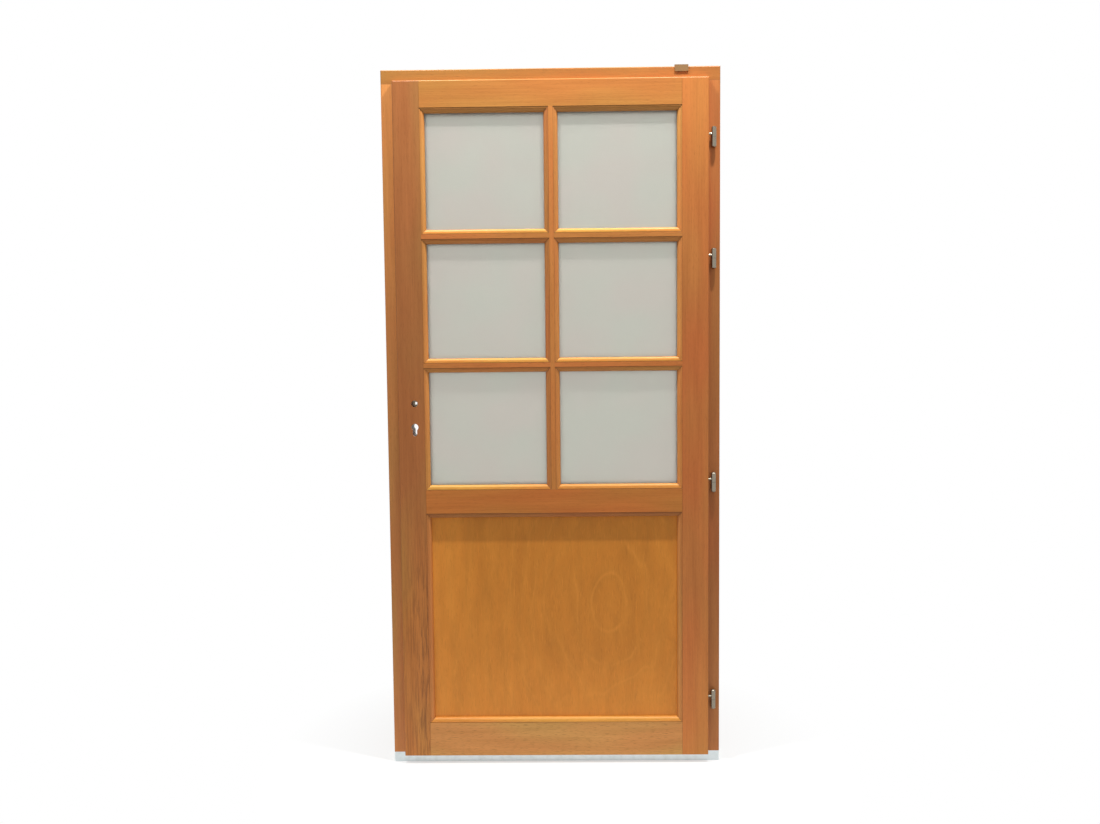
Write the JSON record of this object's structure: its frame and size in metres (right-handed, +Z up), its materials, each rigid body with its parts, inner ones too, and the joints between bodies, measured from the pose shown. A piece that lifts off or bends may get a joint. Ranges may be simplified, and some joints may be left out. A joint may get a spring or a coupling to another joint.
{
  "type": "glazed wooden back door with frame",
  "caption": "Half-glazed timber back door hung in a rebated timber frame with an aluminium threshold, drill-in hinges, obscured panes between glazing bars and a mortise lock.",
  "frame": {"origin": "middle of the threshold's underside, in the middle of the frame's depth", "axes": "+X towards the hinges, +Y outdoors, +Z up; the leaf opens towards -Y, the room side"},
  "size_m": [0.99, 0.111, 2.076],
  "materials": {
    "stained_timber": "satin stain",
    "bead_timber": "satin stain",
    "veneered_panel": "satin stain",
    "obscured_glass": "obscured",
    "plated_steel": "nickel plated",
    "follower_brass": "cast",
    "threshold_aluminium": "anodised",
    "spacer_aluminium": "mill",
    "cap_plastic": "matt",
    "lug_plastic": "matt",
    "seal_rubber": "matt"
  },
  "bodies": {
    "frame": {"jamb_left": "stained_timber", "jamb_right": "stained_timber", "head": "stained_timber", "threshold": "threshold_aluminium", "threshold_cap_left": "cap_plastic", "threshold_cap_right": "cap_plastic", "frame_seal": "seal_rubber", "threshold_seal": "seal_rubber", "strike_plate": "plated_steel", "strike_screws": "plated_steel", "head_lug": "lug_plastic", "hinge_frame_knuckle_1": "plated_steel", "hinge_frame_knuckle_2": "plated_steel", "hinge_frame_knuckle_3": "plated_steel", "hinge_frame_knuckle_4": "plated_steel", "hinge_pins": "plated_steel", "hinge_washers": "plated_steel"},
    "leaf": {"stile_lock": "stained_timber", "stile_hinge": "stained_timber", "rail_top": "stained_timber", "rail_middle": "stained_timber", "rail_bottom": "stained_timber", "bar_vertical": "stained_timber", "bar_upper_left": "stained_timber", "bar_upper_right": "stained_timber", "bar_lower_left": "stained_timber", "bar_lower_right": "stained_timber", "panel": "veneered_panel", "panel_beads": "bead_timber", "glazing_beads_1": "bead_timber", "glazing_beads_2": "bead_timber", "glazing_beads_3": "bead_timber", "glazing_beads_4": "bead_timber", "glazing_beads_5": "bead_timber", "glazing_beads_6": "bead_timber", "glass_inner_1": "obscured_glass", "glass_inner_2": "obscured_glass", "glass_inner_3": "obscured_glass", "glass_inner_4": "obscured_glass", "glass_inner_5": "obscured_glass", "glass_inner_6": "obscured_glass", "glass_outer_1": "obscured_glass", "glass_outer_2": "obscured_glass", "glass_outer_3": "obscured_glass", "glass_outer_4": "obscured_glass", "glass_outer_5": "obscured_glass", "glass_outer_6": "obscured_glass", "spacer_frames": "spacer_aluminium", "weather_bar": "stained_timber", "lock_case": "plated_steel", "lock_faceplate": "plated_steel", "faceplate_screws": "plated_steel", "hinge_leaf_knuckle_1": "plated_steel", "hinge_leaf_knuckle_2": "plated_steel", "hinge_leaf_knuckle_3": "plated_steel", "hinge_leaf_knuckle_4": "plated_steel", "latch_spring": "plated_steel"},
    "follower_body": {"follower": "follower_brass"},
    "latch_body": {"latch_bolt": "plated_steel"},
    "deadbolt_body": {"deadbolt": "plated_steel"}
  },
  "joints": [
    {"name": "leaf_swing", "type": "hinge", "parent": "frame", "child": "leaf", "pos_m": [0.475, -0.043, 1], "axis": [0, 0, 1], "range_deg": [0, 170]},
    {"name": "follower_turn", "type": "hinge", "parent": "leaf", "child": "follower_body", "pos_m": [-0.411, -0.015, 1.096], "axis": [0, 1, 0], "range_deg": [0, 35]},
    {"name": "latch_slide", "type": "slide", "parent": "leaf", "child": "latch_body", "axis": [1, 0, 0], "range_m": [0, 0.012], "stiffness_N_per_m": 150, "springref_m": -0.012, "deforming": ["latch_spring"]},
    {"name": "deadbolt_slide", "type": "slide", "parent": "leaf", "child": "deadbolt_body", "axis": [-1, 0, 0], "range_m": [0, 0.02]}
  ],
  "couplings": [
    {"joint": "follower_turn", "follows": "latch_slide", "rad_per_m": 50.905}
  ]
}
